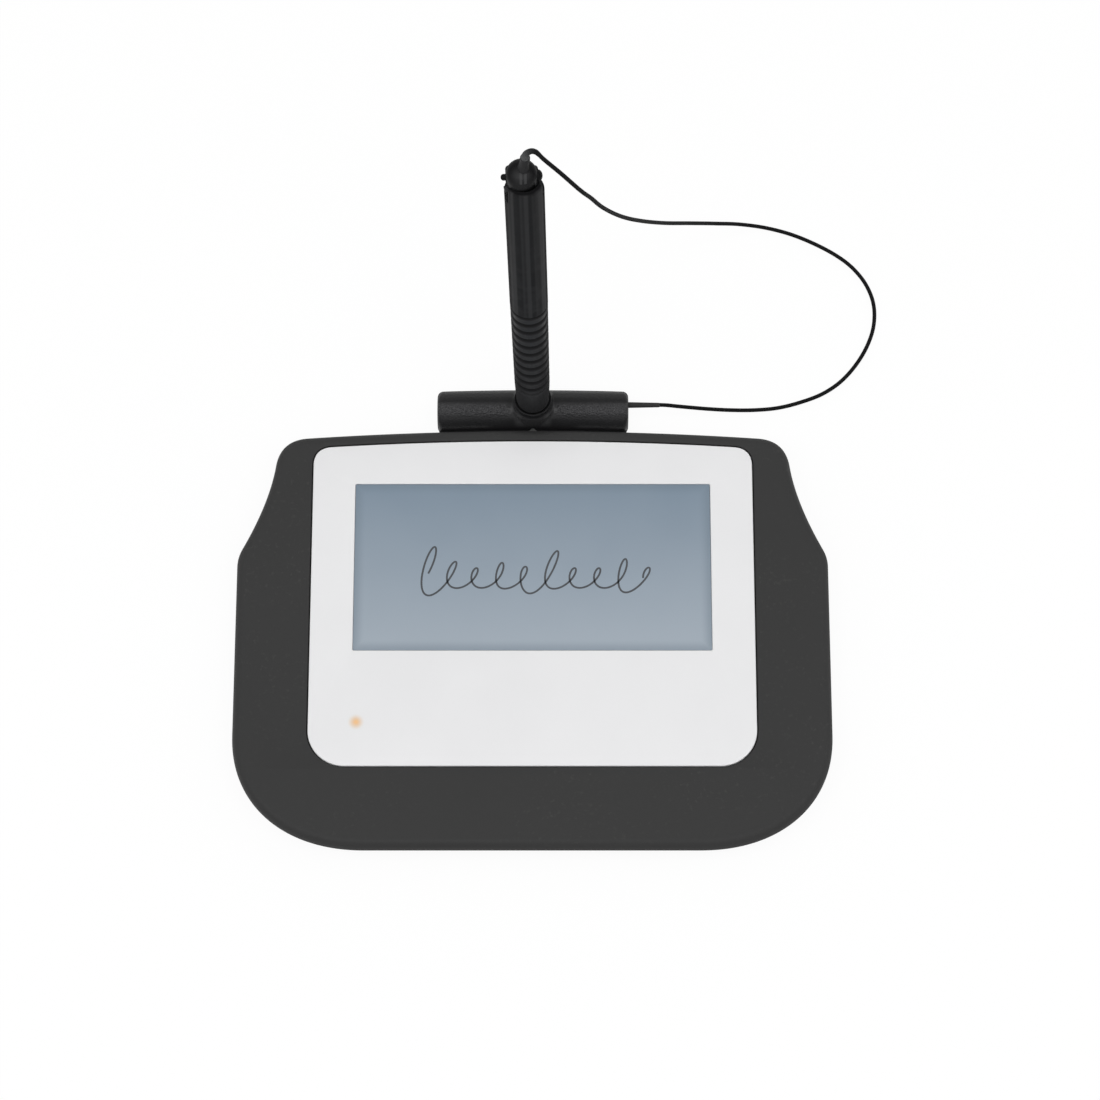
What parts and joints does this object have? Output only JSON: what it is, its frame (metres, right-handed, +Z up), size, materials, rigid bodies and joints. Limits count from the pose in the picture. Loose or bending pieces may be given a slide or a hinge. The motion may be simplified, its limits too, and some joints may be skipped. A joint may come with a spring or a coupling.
{
  "type": "signature pad",
  "caption": "Low counter-top pad with a screen to sign on, and a tethered pen that stands in a holder bar along its rear edge.",
  "frame": {"origin": "on the table under the middle of the box round the pad, the holder and the pen, without the free cord", "axes": "+X to the right of the person who signs, +Y away from that person, +Z up"},
  "size_m": [0.1736, 0.1813, 0.1529],
  "materials": {
    "cover": "satin, very fine grain",
    "plate": "fine matt",
    "screen": "anti-glare writing surface",
    "gasket": "matt foam",
    "lcd": "polished",
    "backlight": "frosted",
    "frame": "plated sheet",
    "board": "solder mask",
    "chip": "moulded",
    "connector": "moulded",
    "ribbon": "film",
    "led": "clear amber",
    "pipe": "frosted",
    "steel": "zinc plated",
    "rubber": "matt",
    "holder": "satin, leather grain along its front",
    "pen": "satin",
    "grip": "matt",
    "nib": "satin",
    "sleeve": "matt",
    "cord": "matt braid"
  },
  "bodies": {
    "pad": {"top_cover": "cover", "bottom_cover": "cover", "faceplate": "plate", "foot_1": "rubber", "foot_2": "rubber", "foot_3": "rubber", "foot_4": "rubber", "holder_sleeve": "rubber", "tether_anchor": "rubber", "cover_screw_1": "steel", "cover_screw_2": "steel", "cover_screw_3": "steel", "cover_screw_4": "steel", "cover_screw_5": "steel", "cover_screw_6": "steel", "board_screw_1": "steel", "board_screw_2": "steel", "board_screw_3": "steel", "board_screw_4": "steel", "holder_screw_1": "steel", "holder_screw_2": "steel", "writing_surface": "screen", "screen_gasket": "gasket", "touch_panel": "backlight", "backlight": "backlight", "lcd_panel": "lcd", "lcd_frame": "frame", "usb_socket": "frame", "main_board": "board", "usb_board": "board", "processor": "chip", "touch_chip": "chip", "memory_chip": "chip", "lcd_connector": "connector", "touch_connector": "connector", "indicator_led": "led", "lcd_ribbon": "ribbon", "touch_ribbon": "ribbon", "usb_ribbon": "ribbon", "light_pipe": "pipe", "pen_holder": "holder", "tether_cord": "cord"},
    "tether_end": {"pen_sleeve": "sleeve", "tether_ferrule": "steel"},
    "pen": {"pen_nose": "grip", "pen_nib": "nib", "pen_core": "nib", "pen_grip": "grip", "pen_barrel": "pen", "cap_plug": "pen"}
  },
  "joints": [
    {"name": "pen_lift", "type": "slide", "parent": "pad", "child": "tether_end", "axis": [-0.0131, 0.0436, 0.999], "range_m": [0, 0.03], "deforming": ["tether_cord"]},
    {"name": "pen_turn", "type": "hinge", "parent": "tether_end", "child": "pen", "pos_m": [0, 0.05732, 0.014], "axis": [-0.0131, 0.0436, 0.999], "continuous": true}
  ]
}
